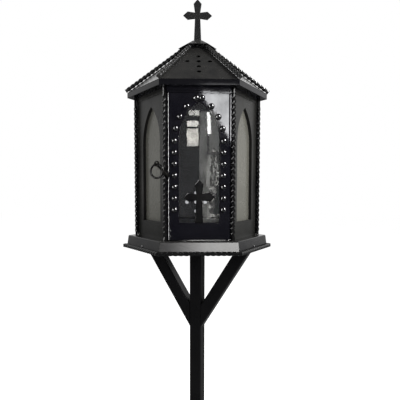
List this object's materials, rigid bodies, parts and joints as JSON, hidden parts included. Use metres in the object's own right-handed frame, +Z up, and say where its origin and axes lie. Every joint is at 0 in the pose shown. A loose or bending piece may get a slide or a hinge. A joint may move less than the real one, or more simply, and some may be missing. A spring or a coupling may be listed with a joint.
{
  "type": "grave lantern",
  "caption": "Hexagonal sheet-metal grave lantern with a hinged glazed door, twisted corner bars and a pyramid roof with a cross, on a forked square post.",
  "frame": {"origin": "middle of the foot plate's underside, on the ground", "axes": "+Z up the post, the door faces -Y, +X to the right seen from the door"},
  "size_m": [0.308, 0.2904, 1.1473],
  "materials": {
    "stand_paint": "semi-gloss black paint",
    "zinc_fastener": "zinc plated",
    "gloss_paint": "gloss black paint",
    "roof_paint": "gloss black paint",
    "bar_paint": "gloss black paint",
    "clear_glass": "clear float glass",
    "side_glass": "milky glass",
    "clip_steel": "bare spring steel",
    "zinc_sheet": "galvanised sheet",
    "stud_paint": "gloss black paint",
    "ring_paint": "worn black paint",
    "pin_steel": "plain steel"
  },
  "bodies": {
    "lantern": {"foot_plate": "stand_paint", "post": "stand_paint", "brace_left": "stand_paint", "brace_right": "stand_paint", "stand_head": "stand_paint", "stand_bolts": "zinc_fastener", "stand_nuts": "zinc_fastener", "roof_screws": "zinc_fastener", "roof_nuts": "zinc_fastener", "finial_nut": "zinc_fastener", "skirt_screws": "zinc_fastener", "bottom_plate": "gloss_paint", "base_box": "gloss_paint", "front_frame": "gloss_paint", "door_lintel": "gloss_paint", "panel_rear": "gloss_paint", "panel_left_front": "gloss_paint", "panel_right_front": "gloss_paint", "panel_right_rear": "gloss_paint", "panel_left_rear": "gloss_paint", "top_ring": "roof_paint", "eave_plate": "roof_paint", "roof_shell": "roof_paint", "cap": "roof_paint", "finial_cross": "roof_paint", "edge_bars": "bar_paint", "corner_bar_front_left": "bar_paint", "corner_bar_front_right": "bar_paint", "corner_bar_right": "bar_paint", "corner_bar_rear_right": "bar_paint", "corner_bar_rear_left": "bar_paint", "corner_bar_left": "bar_paint", "hip_bar_front_left": "bar_paint", "hip_bar_front_right": "bar_paint", "hip_bar_right": "bar_paint", "hip_bar_rear_right": "bar_paint", "hip_bar_rear_left": "bar_paint", "hip_bar_left": "bar_paint", "glass_left_front": "side_glass", "glass_right_front": "side_glass", "glass_right_rear": "side_glass", "glass_left_rear": "side_glass", "glass_clips": "clip_steel", "door_washer": "clip_steel", "candle_tray": "zinc_sheet"},
    "door": {"door_leaf": "gloss_paint", "door_glass": "clear_glass", "door_glass_clips": "clip_steel", "door_studs": "stud_paint", "door_cross": "stud_paint", "door_pin_top": "pin_steel", "door_pin_bottom": "pin_steel", "door_lug": "ring_paint", "door_catch_spring": "clip_steel", "door_catch_rivets": "zinc_fastener"},
    "ring": {"pull_ring": "ring_paint"}
  },
  "joints": [
    {"name": "door_swing", "type": "hinge", "parent": "lantern", "child": "door", "pos_m": [0.05391, -0.10876, 0.6755], "axis": [0, 0, 1], "range_deg": [0, 95]},
    {"name": "ring_swing", "type": "hinge", "parent": "door", "child": "ring", "pos_m": [-0.07537, -0.12989, 0.81237], "axis": [-0.9063, 0.4226, 0], "range_deg": [0, 110]}
  ]
}
